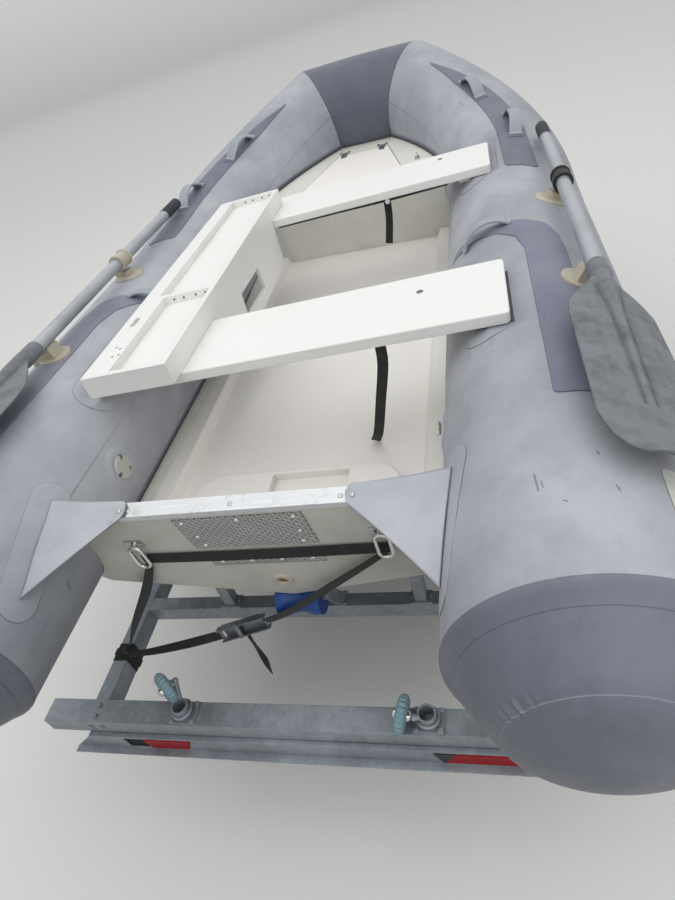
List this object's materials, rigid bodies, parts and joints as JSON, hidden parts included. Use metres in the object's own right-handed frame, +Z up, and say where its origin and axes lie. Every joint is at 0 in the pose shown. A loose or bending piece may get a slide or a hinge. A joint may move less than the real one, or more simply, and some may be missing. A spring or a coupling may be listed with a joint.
{
  "type": "rigid inflatable boat on a road trailer",
  "caption": "Small rigid inflatable boat with two bench seats, side tray, bow locker and stowed oars, tied down on a single-axle road trailer.",
  "frame": {"origin": "on the floor, at the centre of the whole object's length and width", "axes": "+X from the stern towards the bow and the trailer's coupling, +Y to port, +Z up"},
  "size_m": [4.1, 1.656, 1.365],
  "materials": {
    "fabric_light": "satin",
    "fabric_dark": "satin",
    "patch_dark": "satin",
    "gusset_grey": "satin",
    "webbing_black": "matte",
    "gelcoat_hull": "gloss",
    "gelcoat_deck": "satin",
    "gelcoat_transom": "satin",
    "board_white": "satin",
    "aluminium_cap": "satin",
    "plate_textured": "textured",
    "stainless": "polished",
    "plastic_beige": "matte",
    "plastic_black": "matte",
    "oar_shaft": "satin",
    "blade_grey": "satin",
    "galvanised": "matte",
    "roller_blue": "matte",
    "tyre": "matte",
    "rim_steel": "satin",
    "lamp_red": "gloss",
    "guard_black": "matte",
    "timber": "matte"
  },
  "bodies": {
    "boat_and_trailer": {"air_valves": "plastic_beige", "axle": "galvanised", "bow_panel": "fabric_dark", "bow_stop": "plastic_black", "bunk_brackets": "galvanised", "bunks": "timber", "carry_handles": "webbing_black", "collar_port": "fabric_light", "collar_starboard": "fabric_light", "coupling": "galvanised", "cross_members": "galvanised", "deck_fittings": "stainless", "deck_liner": "gelcoat_deck", "drain_socket": "stainless", "drawbar": "galvanised", "engine_plates": "plate_textured", "frame_rails": "galvanised", "gussets": "gusset_grey", "hinge_plates": "stainless", "hull": "gelcoat_hull", "jockey_clamp": "galvanised", "jockey_leg": "galvanised", "keel_roller_brackets": "galvanised", "keel_rollers": "roller_blue", "lamp_board": "galvanised", "lamps": "lamp_red", "mudguards": "guard_black", "oar_holders": "plastic_beige", "rear_beam": "galvanised", "rowlock_bases": "plastic_beige", "seat_aft": "board_white", "seat_forward": "board_white", "seat_straps": "webbing_black", "side_roller_posts": "galvanised", "side_rollers": "roller_blue", "side_tray": "board_white", "stern_caps": "fabric_dark", "strap_ratchet": "galvanised", "tie_down_strap": "webbing_black", "transom_board": "gelcoat_transom", "transom_cap": "aluminium_cap", "u_bolts": "stainless", "wear_patches": "patch_dark", "wheel_arms": "galvanised", "winch": "galvanised", "winch_post": "galvanised"},
    "jockey_fork": {"jockey_fork": "galvanised"},
    "jockey_wheel": {"jockey_wheel": "plastic_black"},
    "lid": {"lid_hinges": "stainless", "locker_lid": "gelcoat_deck"},
    "oar_port": {"oar_blade_port": "blade_grey", "oar_port": "oar_shaft"},
    "oar_starboard": {"oar_blade_starboard": "blade_grey", "oar_starboard": "oar_shaft"},
    "wheel_port": {"rim_port": "rim_steel", "tyre_port": "tyre"},
    "wheel_starboard": {"rim_starboard": "rim_steel", "tyre_starboard": "tyre"}
  },
  "joints": [
    {"name": "wheel_port_spin", "type": "hinge", "parent": "boat_and_trailer", "child": "wheel_port", "pos_m": [-0.7, 0.7, 0.243], "axis": [0, 1, 0], "continuous": true},
    {"name": "wheel_starboard_spin", "type": "hinge", "parent": "boat_and_trailer", "child": "wheel_starboard", "pos_m": [-0.7, -0.7, 0.243], "axis": [0, 1, 0], "continuous": true},
    {"name": "jockey_swivel", "type": "hinge", "parent": "boat_and_trailer", "child": "jockey_fork", "pos_m": [1.5, -0.078, 0.2], "axis": [0, 0, 1], "continuous": true},
    {"name": "jockey_wheel_spin", "type": "hinge", "parent": "jockey_fork", "child": "jockey_wheel", "pos_m": [1.455, -0.078, 0.1], "axis": [0, 1, 0], "continuous": true},
    {"name": "locker_lid_hinge", "type": "hinge", "parent": "boat_and_trailer", "child": "lid", "pos_m": [0.616, 0, 1.042], "axis": [0, 1, 0], "range_deg": [0, 95]},
    {"name": "oar_port_pivot", "type": "hinge", "parent": "boat_and_trailer", "child": "oar_port", "pos_m": [-0.665, 0.61942, 1.18984], "axis": [0, -0.0349, -0.9994], "range_deg": [0, 115]},
    {"name": "oar_starboard_pivot", "type": "hinge", "parent": "boat_and_trailer", "child": "oar_starboard", "pos_m": [-0.665, -0.71982, 1.16666], "axis": [0, -0.4067, 0.9135], "range_deg": [0, 115]}
  ]
}
